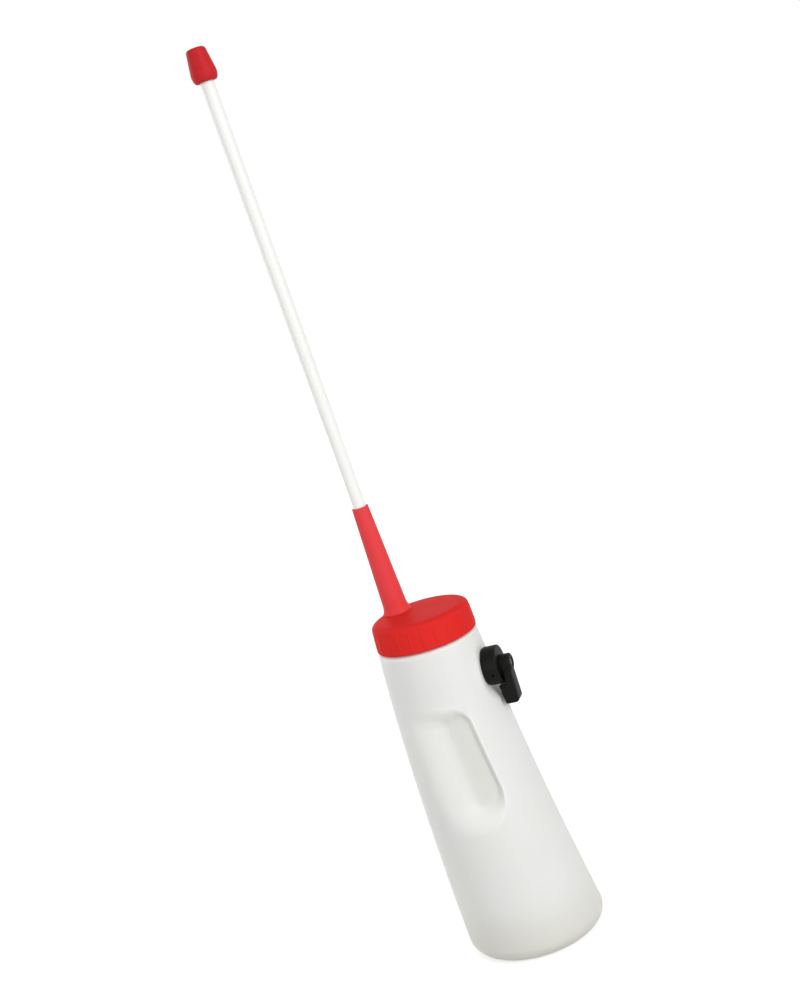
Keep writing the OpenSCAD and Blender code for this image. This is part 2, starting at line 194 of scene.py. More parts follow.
# Camera: focal length and frame in pixels, its place round the cap, and where the cap's foot shows
FOCAL = 1657.0
FRAME_W, FRAME_H = 800, 1000
CAMERA_AWAY = 1475.35
CAMERA_TURN = 0.344
CAMERA_RISE = 0.260
CAMERA_ROLL = -0.308
CAP_SHOWS = (426.67, 636.98)
SENSOR = 36.0

# Studio, in metres and watts. A lamp: across, towards the camera, height, size and power
FLOOR_HALF = 6.0
GLOW_FROM, GLOW_TO = 1.0, 4.0
GLOW_NEAR, GLOW_FAR = 0.55, 0.76
SURROUND_LIGHT = 0.45
LAMP_AIM_Z = 0.25
KEY_LAMP = (2.3, 3.2, 1.9, 2.5, 104)
FILL_LAMP = (-1.3, 1.6, 0.8, 1.4, 8)
SIDE_LAMP = (-3.1, -1.8, 1.2, 2.2, 35)
BACK_LAMP = (-0.4, -3.6, 1.3, 2.2, 42)


def rise(z):
    """Share of the way up the bottle's side, from the rounded foot to the ledge."""
    return min(max((z - FOOT_ROUND) / (SIDE_TOP - FOOT_ROUND), 0), 1)


def side_r(z):
    """Radius of the bottle's side at a height, without the hollows."""
    return FOOT_R + (LEDGE_R - FOOT_R) * rise(z)


def side_shift(z):
    """How far the side's centre lies towards the tap at a height."""
    return FOOT_SHIFT * (1 - rise(z)) ** SHIFT_POWER


SEAT_X = side_shift(TAP_Z) + sqrt(side_r(TAP_Z) ** 2 - SEAT_R ** 2)
SPOUT_X, SPOUT_Y = SPOUT_OUT * cos(SPOUT_AT), SPOUT_OUT * sin(SPOUT_AT)
ON_SPOUT = (Matrix.Translation((SPOUT_X, SPOUT_Y, CAP_TOP_Z))
            @ Matrix.Rotation(LEAN, 4, Vector((-sin(LEAN_TO), cos(LEAN_TO), 0))))
ON_TAP = Matrix.Translation((SEAT_X, 0, TAP_Z)) @ Matrix.Rotation(pi / 2, 4, "Y")


def linear(hex_colour):
    """An sRGB hex colour as linear RGBA."""
    parts = [int(hex_colour[i:i + 2], 16) / 255 for i in (1, 3, 5)]
    return [p / 12.92 if p <= 0.04045 else ((p + 0.055) / 1.055) ** 2.4 for p in parts] + [1.0]


def add_node(tree, kind, inputs=None, **settings):
    """Adds a node with its settings; an input is a value, a socket, or a node's first output."""
    node = tree.nodes.new(kind)
    for name, value in settings.items():
        setattr(node, name, value)
    for name, value in (inputs or {}).items():
        if isinstance(value, bpy.types.Node):
            value = value.outputs[0]
        if isinstance(value, bpy.types.NodeSocket):
            tree.links.new(value, node.inputs[name])
        else:
            node.inputs[name].default_value = value
    return node


def calc(tree, operation, *values):
    """One step of arithmetic on one to three inputs."""
    return add_node(tree, "ShaderNodeMath", dict(enumerate(values)), operation=operation)


def ramp(tree, value, low, high, start=0.0, end=1.0, smooth=False):
    """Goes from start to end while a value goes from low to high, and stays there past them."""
    return add_node(tree, "ShaderNodeMapRange", {0: value, 1: low, 2: high, 3: start, 4: end},
                    interpolation_type="SMOOTHSTEP" if smooth else "LINEAR")


def blend(tree, share, none, full):
    """A number between two others, by a share."""
    return add_node(tree, "ShaderNodeMix", {"Factor": share, "A": none, "B": full}, data_type="FLOAT")


def length(tree, x, y):
    """Distance of a flat point from the origin."""
    flat = add_node(tree, "ShaderNodeCombineXYZ", {"X": x, "Y": y})
    return add_node(tree, "ShaderNodeVectorMath", {0: flat}, operation="LENGTH").outputs["Value"]


def spread(start, end, step):
    """Even steps from start to end, the end left out."""
    count = max(1, round(abs(end - start) / step))
    return [start + (end - start) * i / count for i in range(count)]


def arc(centre, r, start, end, count):
    """Points of an arc in a profile, angles in degrees."""
    turns = [radians(start + (end - start) * i / count) for i in range(count + 1)]
    return [(centre[0] + r * cos(a), centre[1] + r * sin(a)) for a in turns]


def box_corners(x, y):
    """Corners of a rectangle about the origin, from its half sides."""
    return (-x, -y), (x, -y), (x, y), (-x, y)


def shape(name, points, faces, place=None):
    """A new mesh object, its points put in place."""
    mesh = bpy.data.meshes.new(name)
    mesh.from_pydata([place @ Vector(p) for p in points] if place else points, [], faces)
    obj = bpy.data.objects.new(name, mesh)
    bpy.context.collection.objects.link(obj)
    return obj


def turned(name, profile, angles=96, looped=False, place=None):
    """Turns a profile of (radius, height) about Z: up the outside and down the inside.

    A radius of 0 is one point, a looped profile joins its end to its start, and angles are a number
    of even steps or a list in degrees."""
    if isinstance(angles, int):
        angles = spread(-180, 180, 360 / angles)
    turns = [(cos(radians(a)), sin(radians(a))) for a in angles]
    points, rings = [], []
    for r, z in profile:
        ring = [(0, 0, z)] if r == 0 else [(r * c, r * s, z) for c, s in turns]
        rings.append(range(len(points), len(points) + len(ring)))
        points += ring
    faces = []
    for low, high in zip(rings, rings[1:] + rings[:1] if looped else rings[1:]):
        for i in range(len(turns)):
            k = (i + 1) % len(turns)
            corners = [low[i % len(low)], low[k % len(low)], high[k % len(high)], high[i % len(high)]]
            faces.append(list(dict.fromkeys(corners)))
    return shape(name, points, faces, place)


def lofted(name, sections, place=None):
    """Joins closed sections of equal point counts, and closes both ends."""
    count = len(sections[0])
    faces = [list(reversed(range(count)))]
    for low in range(0, count * (len(sections) - 1), count):
        faces += [[low + i, low + (i + 1) % count, low + count + (i + 1) % count, low + count + i]
                  for i in range(count)]
    faces.append(list(range(count * (len(sections) - 1), count * len(sections))))
    return shape(name, [p for section in sections for p in section], faces, place)


def bar(name, r, low, high, place=None, steps=32):
    """A plain round bar, used as a cutter or a pin."""
    return turned(name, [(0, low), (r, low), (r, high), (0, high)], steps, place=place)


def settle(obj):
    """Turns what the modifiers make into a plain mesh."""
    graph = bpy.context.evaluated_depsgraph_get()
    mesh = bpy.data.meshes.new_from_object(obj.evaluated_get(graph))
    obj.modifiers.clear()
    obj.data = mesh
    return obj


def carve(obj, operation, *tools):
    """Cuts other shapes out of a shape, or joins them to it as one solid."""
    for tool in tools:
        step = obj.modifiers.new("carve", "BOOLEAN")
        step.solver = "EXACT"
        step.operation = operation
        step.object = tool
    settle(obj)
    for tool in tools:
        bpy.data.objects.remove(tool)
    return obj


def joined(obj, *others):
    """Puts other shapes into a shape's mesh as they are."""
    points = [tuple(v.co) for v in obj.data.vertices]
    faces = [list(f.vertices) for f in obj.data.polygons]
    for other in others:
        start = len(points)
        points += [tuple(v.co) for v in other.data.vertices]
        faces += [[start + i for i in f.vertices] for f in other.data.polygons]
        bpy.data.objects.remove(other)
    name = obj.name
    bpy.data.objects.remove(obj)
    return shape(name, points, faces)


def sized_tree(name, sizes):
    """A node tree with a named input for each size; returns it and its inputs."""
    kinds = {float: "NodeSocketFloat", int: "NodeSocketInt", bpy.types.Material: "NodeSocketMaterial"}
    tree = bpy.data.node_groups.new(name, "GeometryNodeTree")
    tree.interface.new_socket("Geometry", in_out="OUTPUT", socket_type="NodeSocketGeometry")
    tree.interface.new_socket("Geometry", in_out="INPUT", socket_type="NodeSocketGeometry")
    for size, value in sizes.items():
        tree.interface.new_socket(size, in_out="INPUT", socket_type=kinds[type(value)])
    return tree, tree.nodes.new("NodeGroupInput").outputs


def close_tree(tree, made, material):
    """Ends a tree: real geometry, its material, and the output."""
    real = add_node(tree, "GeometryNodeRealizeInstances", {"Geometry": made})
    dressed = add_node(tree, "GeometryNodeSetMaterial", {"Geometry": real, "Material": material})
    add_node(tree, "NodeGroupOutput", {"Geometry": dressed})


def grown(obj, tree, sizes):
    """Runs a node tree on a shape with the given sizes and keeps the result as a plain mesh."""
    step = obj.modifiers.new(tree.name, "NODES")
    step.node_group = tree
    for socket in tree.interface.items_tree:
        if socket.in_out == "INPUT" and socket.name in sizes:
            step[socket.identifier] = sizes[socket.name]
    return settle(obj)


def piece(obj, material, body, slot, *nodes, crease=32):
    """Finishes a piece: metres, smooth faces with sharp creases, its material and body."""
    mesh = obj.data
    mesh.transform(Matrix.Scale(MM, 4))
    mesh.materials.clear()
    mesh.materials.append(material)
    mesh.polygons.foreach_set("material_index", [0] * len(mesh.polygons))
    mesh.shade_smooth()
    mesh.set_sharp_from_angle(angle=radians(crease))
    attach(obj, body)
    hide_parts(*nodes)
    return obj


def plastic(name, colour, roughness, ior, specular=None, inside=None):
    """Starts a material: its shader with plain values, and the object's own coordinates.

    Inside is the light that goes in: its weight, its share in red, green and blue, and its reach in mm."""
    material = bpy.data.materials.new(name)
    material.use_nodes = True
    tree = material.node_tree
    shader = tree.nodes["Principled BSDF"]
    values = {"Base Color": linear(colour), "Roughness": roughness, "IOR": ior}
    if specular is not None:
        values["Specular IOR Level"] = specular
    if inside:
        values["Subsurface Weight"], values["Subsurface Radius"], reach_mm = inside
        values["Subsurface Scale"] = reach_mm * MM
    for socket, value in values.items():
        shader.inputs[socket].default_value = value
    return material, tree, shader, add_node(tree, "ShaderNodeTexCoord").outputs["Object"]


def mottled(tree, shader, place, low, high, size_mm):
    """Lets the colour drift between two close shades in patches of a real size."""
    patch = add_node(tree, "ShaderNodeTexNoise",
                     {"Vector": place, "Scale": 1 / (size_mm * MM), "Detail": 2.0})
    shade = add_node(tree, "ShaderNodeMix", {"Factor": patch, "A": linear(low), "B": linear(high)},
                     data_type="RGBA").outputs["Result"]
    tree.links.new(shade, shader.inputs["Base Color"])
    return shade


def grained(tree, shader, place, size_mm, height_mm, rough, extra=None):
    """Gives the surface its grain: a fine bump of a real size, and a gloss that follows it."""
    grain = add_node(tree, "ShaderNodeTexNoise",
                     {"Vector": place, "Scale": 1 / (size_mm * MM), "Detail": 3.0})
    gloss = ramp(tree, grain, 0, 1, *rough)
    tree.links.new(gloss.outputs[0], shader.inputs["Roughness"])
    height = grain if extra is None else calc(tree, "ADD", grain, extra)
    bump = add_node(tree, "ShaderNodeBump",
                    {"Height": height, "Strength": 1.0, "Distance": height_mm * MM})
    tree.links.new(bump.outputs[0], shader.inputs["Normal"])


def painted_hollow_shade(tree, x, y, z):
    """How much painted shade a point of the bottle gets: 1 at a hollow's steep wall, fading over its floor.
    """
    down = ramp(tree, z, SIDE_TOP * MM, FOOT_ROUND * MM)
    shift = calc(tree, "POWER", down, SHIFT_POWER)
    across = calc(tree, "MULTIPLY_ADD", shift, -FOOT_SHIFT * MM, x)
    angle = calc(tree, "ABSOLUTE", calc(tree, "ARCTAN2", y, across))
    reach = calc(tree, "MULTIPLY", angle, ramp(tree, down, 0, 1, LEDGE_R, FOOT_R))
    corner = ramp(tree, z, (GRIP_LO + GRIP_LO_CORNER_H) * MM, GRIP_LO * MM)
    bend = calc(tree, "POWER", corner, 2.0)
    reach = calc(tree, "MULTIPLY_ADD", bend, -GRIP_LO_CORNER_W / 2, reach)
    share = 1.0
    for value, none, full in (
            (reach, GRIP_EDGE + HOLLOW_SHADE_STARTS, GRIP_EDGE + HOLLOW_SHADE_FULL),
            (reach, GRIP_EDGE + HOLLOW_SHADE_ENDS, GRIP_EDGE + HOLLOW_SHADE_FADES),
            (z, (GRIP_LO + HOLLOW_SHADE_LO) * MM, (GRIP_LO + GRIP_LO_RUN) * MM),
            (z, GRIP_HI * MM, (GRIP_HI - GRIP_HI_RUN) * MM)):
        share = calc(tree, "MULTIPLY", share, ramp(tree, value, none, full, smooth=True))
    return share


def blown_hdpe():
    """Natural polyethylene, blown in a split mould: milky, soft gloss, light goes a little way in.

    A fine mould grain dulls it, painted shade makes it darker and warmer towards the foot and greyer over
    the hollows past their steep walls, and the mould's parting line shows as a hairline ridge."""
    material, tree, shader, place = plastic("natural_blown_hdpe", "#F3F3ED", roughness=0.42, ior=1.54,
                                            specular=0.3, inside=(0.8, (1.0, 1.0, 0.9), 6))
    shade = mottled(tree, shader, place, "#F1F0E5", "#F5F6F5", size_mm=70)
    x, y, z = add_node(tree, "ShaderNodeSeparateXYZ", {0: place}).outputs
    # Painted shade: the colour turns darker and warmer towards the foot
    foot_shade = ramp(tree, z, FOOT_SHADE_HI * MM, FOOT_SHADE_LO * MM, smooth=True)
    # Painted shade: a greyer tone over each hollow's floor past its steep wall, and a darker, warmer tone at
    # the foot
    for share, tone in ((foot_shade, "#DFDED4"), (painted_hollow_shade(tree, x, y, z), "#E5E5DF")):
        shade = add_node(tree, "ShaderNodeMix", {"Factor": share, "A": shade, "B": linear(tone)},
                         data_type="RGBA").outputs["Result"]
    tree.links.new(shade, shader.inputs["Base Color"])
    ridge = ramp(tree, calc(tree, "ABSOLUTE", y), SEAM_FOOT * MM, SEAM_TOP * MM, 0, SEAM_HEIGHT, smooth=True)
    # The real grain is about 0.3 mm; it is drawn at 1.5 mm so that it shows
    grained(tree, shader, place, size_mm=1.5, height_mm=0.02, rough=(0.38, 0.5), extra=ridge)
    return material


def red_polypropylene():
    """Injection-moulded polypropylene: strong red, satin, faint flow shading from the mould."""
    material, tree, shader, place = plastic("red_moulded_polypropylene", "#DE2E2B", roughness=0.45, ior=1.49,
                                            specular=0.015, inside=(0.08, (1.0, 0.3, 0.25), 1.5))
    mottled(tree, shader, place, "#D92A27", "#E3322E", size_mm=35)
    # The mould's grain is about 0.2 mm; it is drawn at 1 mm so that it shows
    grained(tree, shader, place, size_mm=1.0, height_mm=0.012, rough=(0.4, 0.52))
    return material


def red_polyethylene():
    """Moulded polyethylene of the spout: softer than the cap, a lighter red, waxy."""
    material, tree, shader, place = plastic("red_moulded_polyethylene", "#E24549", roughness=0.5, ior=1.51,
                                            specular=0.08, inside=(0.15, (1.0, 0.3, 0.28), 2))
    mottled(tree, shader, place, "#DE4044", "#E64A4F", size_mm=20)
    # The mould's grain is about 0.2 mm; it is drawn at 1 mm so that it shows
    grained(tree, shader, place, size_mm=1.0, height_mm=0.015, rough=(0.45, 0.56))
    return material


def soft_red_pvc():
    """Soft PVC, dipped and moulded: a deeper red, waxy, with dull patches from handling."""
    material, tree, shader, place = plastic("soft_red_pvc", "#C0272A", roughness=0.5, ior=1.53,
                                            specular=0.08, inside=(0.1, (1.0, 0.25, 0.2), 2))
    mottled(tree, shader, place, "#B82225", "#C82B2F", size_mm=12)
    grained(tree, shader, place, size_mm=1.2, height_mm=0.02, rough=(0.42, 0.58))
    return material


def white_extruded_tube():
    """Extruded polyethylene: clean white, a soft sheen, and faint draw lines along its length."""
    material, tree, shader, place = plastic("white_extruded_polyethylene", "#F0F0EE", roughness=0.34,
                                            ior=1.51, specular=0.3)
    along = add_node(tree, "ShaderNodeMapping", {"Vector": place, "Scale": (1.0, 1.0, 0.004)})
    mottled(tree, shader, place, "#EDEDEB", "#F2F2F0", size_mm=60)
    # Draw lines are finer than 0.1 mm; they are drawn at 0.9 mm so that they show
    grained(tree, shader, along, size_mm=0.9, height_mm=0.003, rough=(0.32, 0.38))
    return material


def black_nylon():
    """Glass-filled nylon from a spark-eroded mould: near black, matt, with a fine even tooth."""
    material, tree, shader, place = plastic("black_moulded_nylon", "#0E0E0D", roughness=0.5, ior=1.53,
                                            specular=0.1)
    mottled(tree, shader, place, "#0B0B0A", "#121211", size_mm=9)
    # The tooth is about 0.1 mm; it is drawn at 0.7 mm so that it shows
    grained(tree, shader, place, size_mm=0.7, height_mm=0.03, rough=(0.4, 0.58))
    return material


def nitrile_rubber():
    """Moulded nitrile: black, dull, with a faint bloom."""
    material, tree, shader, place = plastic("black_nitrile_rubber", "#161616", roughness=0.75, ior=1.52)
    mottled(tree, shader, place, "#121212", "#1C1C1B", size_mm=5)
    grained(tree, shader, place, size_mm=0.5, height_mm=0.01, rough=(0.68, 0.82))
    return material


def pale_silicone():
    """Moulded silicone: pale grey, soft, slightly see-through at its edges."""
    material, tree, shader, place = plastic("pale_silicone_rubber", "#DCDCD6", roughness=0.55, ior=1.41,
                                            inside=(0.2, (1.0, 1.0, 0.95), 2))
    mottled(tree, shader, place, "#D7D7D1", "#E0E0DA", size_mm=15)
    grained(tree, shader, place, size_mm=0.8, height_mm=0.01, rough=(0.5, 0.62))
    return material


def natural_nylon():
    """Stamped nylon sheet: off-white, waxy."""
    material, tree, shader, place = plastic("natural_nylon_sheet", "#E6E4DA", roughness=0.45, ior=1.53)
    mottled(tree, shader, place, "#E1DFD5", "#EAE8DE", size_mm=10)
    grained(tree, shader, place, size_mm=0.8, height_mm=0.01, rough=(0.4, 0.52))
    return material


def black_acetal():
    """Turned acetal: dark grey, smooth, with fine tool lines that catch the light."""
    material, tree, shader, place = plastic("black_turned_acetal", "#262626", roughness=0.34, ior=1.48)
    along = add_node(tree, "ShaderNodeMapping", {"Vector": place, "Scale": (1.0, 0.05, 0.05)})
    mottled(tree, shader, place, "#222222", "#2B2B2B", size_mm=8)
    grained(tree, shader, along, size_mm=0.4, height_mm=0.008, rough=(0.3, 0.42))
    return material


def stainless_steel():
    """Cold-headed stainless screw: grey metal, dulled, with fine rubbed marks."""
    material, tree, shader, place = plastic("stainless_steel", "#6E6E6B", roughness=0.42, ior=1.5)
    shader.inputs["Metallic"].default_value = 1.0
    mottled(tree, shader, place, "#666663", "#757572", size_mm=3)
    grained(tree, shader, place, size_mm=0.35, height_mm=0.006, rough=(0.36, 0.5))
    return material


HDPE = blown_hdpe()
RED = red_polypropylene()
SPOUT_RED = red_polyethylene()
TIP_RED = soft_red_pvc()
TUBE_WHITE = white_extruded_tube()
BLACK = black_nylon()
RUBBER = nitrile_rubber()
SILICONE = pale_silicone()
NYLON = natural_nylon()
ACETAL = black_acetal()
STEEL = stainless_steel()


def thread_ridge(sizes):
    """Node tree: a rounded thread ridge that winds up round Z and fades out at both ends."""
    thin = 0.05
    tree, size = sized_tree("thread_ridge", sizes)
    height = calc(tree, "MULTIPLY", size["Pitch"], size["Turns"])
    path = add_node(tree, "GeometryNodeCurveSpiral",
                    {"Resolution": 72, "Rotations": size["Turns"], "Start Radius": size["Radius"],
                     "End Radius": size["Radius"], "Height": height})
    along = add_node(tree, "GeometryNodeSplineParameter")
    to_end = calc(tree, "SUBTRACT", 1.0, along)
    fade = calc(tree, "MULTIPLY", *(ramp(tree, share, 0, size["Fade"], thin, smooth=True)
                                    for share in (along, to_end)))
    section = add_node(tree, "GeometryNodeCurvePrimitiveCircle", {"Resolution": 14, "Radius": size["Ridge"]})
    ridge = add_node(tree, "GeometryNodeCurveToMesh",
                     {"Curve": path, "Profile Curve": section, "Scale": fade, "Fill Caps": True})
    lift = add_node(tree, "ShaderNodeCombineXYZ", {"Z": size["Start"]})
    raised = add_node(tree, "GeometryNodeTransform", {"Geometry": ridge, "Translation": lift})
    close_tree(tree, raised, size["Material"])
    return tree


def round_ribs(sizes):
    """Node tree: repeats one rib evenly round Z."""
    tree, size = sized_tree("round_ribs", sizes)
    spots = add_node(tree, "GeometryNodePoints", {"Count": size["Count"]})
    share = calc(tree, "DIVIDE", add_node(tree, "GeometryNodeInputIndex"), size["Count"])
    facing = add_node(tree, "ShaderNodeCombineXYZ", {"Z": calc(tree, "MULTIPLY", share, 2 * pi)})
    ribs = add_node(tree, "GeometryNodeInstanceOnPoints",
                    {"Points": spots, "Instance": size["Geometry"], "Rotation": facing})
    close_tree(tree, ribs, size["Material"])
    return tree


def blown_wall(sizes):
    """Node tree: gives a turned bottle its lean, its grip hollows and the flat seat for the tap.

    The attribute inset is 0 on the outer wall and the wall's thickness on the inner one, so that the
    inner wall follows the outer at an even distance."""
    tree, size = sized_tree("blown_wall", sizes)
    spot = add_node(tree, "ShaderNodeSeparateXYZ", {0: add_node(tree, "GeometryNodeInputPosition")})
    x, y, z = spot.outputs
    inset = add_node(tree, "GeometryNodeInputNamedAttribute", {"Name": "inset"}, data_type="FLOAT")
    radius = length(tree, x, y)

    # Angle from the tap, and how far the point lies in the corner of a hollow's nearer end: 1 is the end
    around = calc(tree, "ARCTAN2", y, x)
    side = calc(tree, "SIGN", around)
    angle = calc(tree, "ABSOLUTE", around)
    above = calc(tree, "SUBTRACT", z, size["Low end"])
    below = calc(tree, "SUBTRACT", size["High end"], z)
    lower = calc(tree, "LESS_THAN", above, below)
    to_end = calc(tree, "ADD", calc(tree, "MINIMUM", above, below), inset)
    end_run, corner_w, corner_h = (blend(tree, lower, size["High " + part], size["Low " + part])
                                   for part in ("run", "corner width", "corner height"))
    end_short = calc(tree, "SUBTRACT", 1.0, calc(tree, "DIVIDE", to_end, corner_h))
    end_short = calc(tree, "MAXIMUM", end_short, 0.0)

    # The steep wall bends round the corner into the end
    into = calc(tree, "MINIMUM", end_short, 1.0)
    left = calc(tree, "SUBTRACT", 1.0, calc(tree, "MULTIPLY", into, into))
    bend = calc(tree, "SUBTRACT", 1.0, calc(tree, "SQRT", left))
    bend = calc(tree, "MULTIPLY", bend, corner_w)
    edge = calc(tree, "SUBTRACT", bend, inset)

    # Each column of points keeps its distance round the side, and those at the steep wall follow its bend
    column = calc(tree, "MULTIPLY", angle, size["Column radius"])
    before = ramp(tree, column, size["Seat columns"], size["Edge"])
    after = ramp(tree, column, size["Soft"], size["Full"])
    near = calc(tree, "MULTIPLY", before, after)
    place = calc(tree, "MULTIPLY_ADD", edge, near, column)
    plain = ramp(tree, z, size["Side foot"], size["Side top"], size["Foot radius"], size["Top radius"])
    round_side = calc(tree, "DIVIDE", place, plain)
    past = ramp(tree, angle, size["Soft angle"], pi)
    turn = blend(tree, past, round_side, angle)

    # Steep wall of the hollow: it stands beside the tap and turns softer round the corner
    reach = calc(tree, "MULTIPLY", turn, plain)
    to_edge = calc(tree, "ADD", calc(tree, "SUBTRACT", reach, size["Edge"]), inset)
    edge_short = calc(tree, "SUBTRACT", 1.0, calc(tree, "DIVIDE", to_edge, corner_w))
    edge_short = calc(tree, "MAXIMUM", edge_short, 0.0)
    short = length(tree, edge_short, end_short)
    inward = calc(tree, "SUBTRACT", 1.0, short)
    towards_end = calc(tree, "POWER", calc(tree, "DIVIDE", end_short, short), 2.0)
    side_part = calc(tree, "DIVIDE", size["Steep run"], corner_w)
    end_part = calc(tree, "DIVIDE", end_run, corner_h)
    steep = ramp(tree, inward, 0, blend(tree, towards_end, side_part, end_part), smooth=True)

    # The floor falls off gently from the foot of the steep wall, less and less, and comes out at the ends
    past_bend = calc(tree, "SUBTRACT", to_edge, bend)
    far = ramp(tree, past_bend, 0, size["Gentle run"])
    gentle = calc(tree, "MULTIPLY", far, calc(tree, "SUBTRACT", 2.0, far))
    gentle = calc(tree, "MULTIPLY", gentle, ramp(tree, to_end, 0, end_run, smooth=True))
    wall = blend(tree, size["Steep share"], gentle, steep)

    # Both run out softly on the side away from the tap
    to_soft = calc(tree, "ADD", calc(tree, "SUBTRACT", size["Soft"], reach), inset)
    soft = ramp(tree, to_soft, 0, size["Soft run"], smooth=True)
    depth = calc(tree, "MULTIPLY", calc(tree, "MULTIPLY", size["Depth"], wall), soft)
    new_radius = calc(tree, "SUBTRACT", radius, depth)
    turn = calc(tree, "MULTIPLY", turn, side)

    # The centre of the side moves towards the tap lower down
    down = ramp(tree, z, size["Side top"], size["Side foot"])
    shift = calc(tree, "MULTIPLY", calc(tree, "POWER", down, size["Shift power"]), size["Shift"])
    new_x = calc(tree, "MULTIPLY_ADD", new_radius, calc(tree, "COSINE", turn), shift)
    new_y = calc(tree, "MULTIPLY", new_radius, calc(tree, "SINE", turn))

    # The tap's flat seat, with a soft run from the wall into it
    from_tap = length(tree, new_y, calc(tree, "SUBTRACT", z, size["Seat height"]))
    seat_end = calc(tree, "ADD", size["Seat radius"], size["Seat blend"])
    off_seat = ramp(tree, from_tap, size["Seat radius"], seat_end, smooth=True)
    behind = calc(tree, "LESS_THAN", x, 0.0)
    keep = calc(tree, "MAXIMUM", off_seat, behind)
    back = calc(tree, "MULTIPLY_ADD", inset, size["Seat back"], size["Seat face"])
    seated = blend(tree, keep, back, new_x)
    place = add_node(tree, "ShaderNodeCombineXYZ", {"X": seated, "Y": new_y, "Z": z})
    moved = add_node(tree, "GeometryNodeSetPosition", {"Geometry": size["Geometry"], "Position": place})
    close_tree(tree, moved, size["Material"])
    return tree


GRIP_R = side_r((GRIP_LO + GRIP_HI) / 2)
SEAT_COLUMNS = 27.0


def bottle_columns():
    """Angles of the bottle's columns of points, close together at the tap and the steep walls."""
    fine_start, fine_end = GRIP_EDGE - GRIP_MARGIN, GRIP_EDGE + GRIP_STEEP + 5
    soft_end = GRIP_SOFT + GRIP_MARGIN
    half = (spread(0, SEAT_COLUMNS, 0.9) + spread(SEAT_COLUMNS, fine_start, 1.6)
            + spread(fine_start, fine_end, 0.4) + spread(fine_end, soft_end, 1.4)
            + spread(soft_end, pi * GRIP_R, 2.2))
    half = [degrees(distance / GRIP_R) for distance in half]
    return [-180] + [-a for a in reversed(half[1:])] + half


def side_rows(fine):
    """Heights of the rows of points up the side."""
    low_start, low_end = GRIP_LO - GRIP_MARGIN, GRIP_LO + GRIP_LO_CORNER_H
    high_end = GRIP_HI - GRIP_HI_CORNER_H
    seat_end = TAP_Z + SEAT_R + SEAT_BLEND
    return (spread(FOOT_ROUND, low_start, 5 * fine) + spread(low_start, low_end, 1.5 * fine)
            + spread(low_end, high_end, 3 * fine) + spread(high_end, seat_end, 1.1 * fine)
            + spread(seat_end, SIDE_TOP, 3 * fine) + [SIDE_TOP])


def make_thread(name, radius, start, material):
    """A thread's ridge, as a shape of its own."""
    sizes = {"Radius": radius, "Pitch": THREAD_PITCH, "Turns": THREAD_TURNS, "Ridge": THREAD_R,
             "Start": start, "Fade": THREAD_FADE, "Material": material}
    return grown(shape(name, [], []), thread_ridge(sizes), sizes)


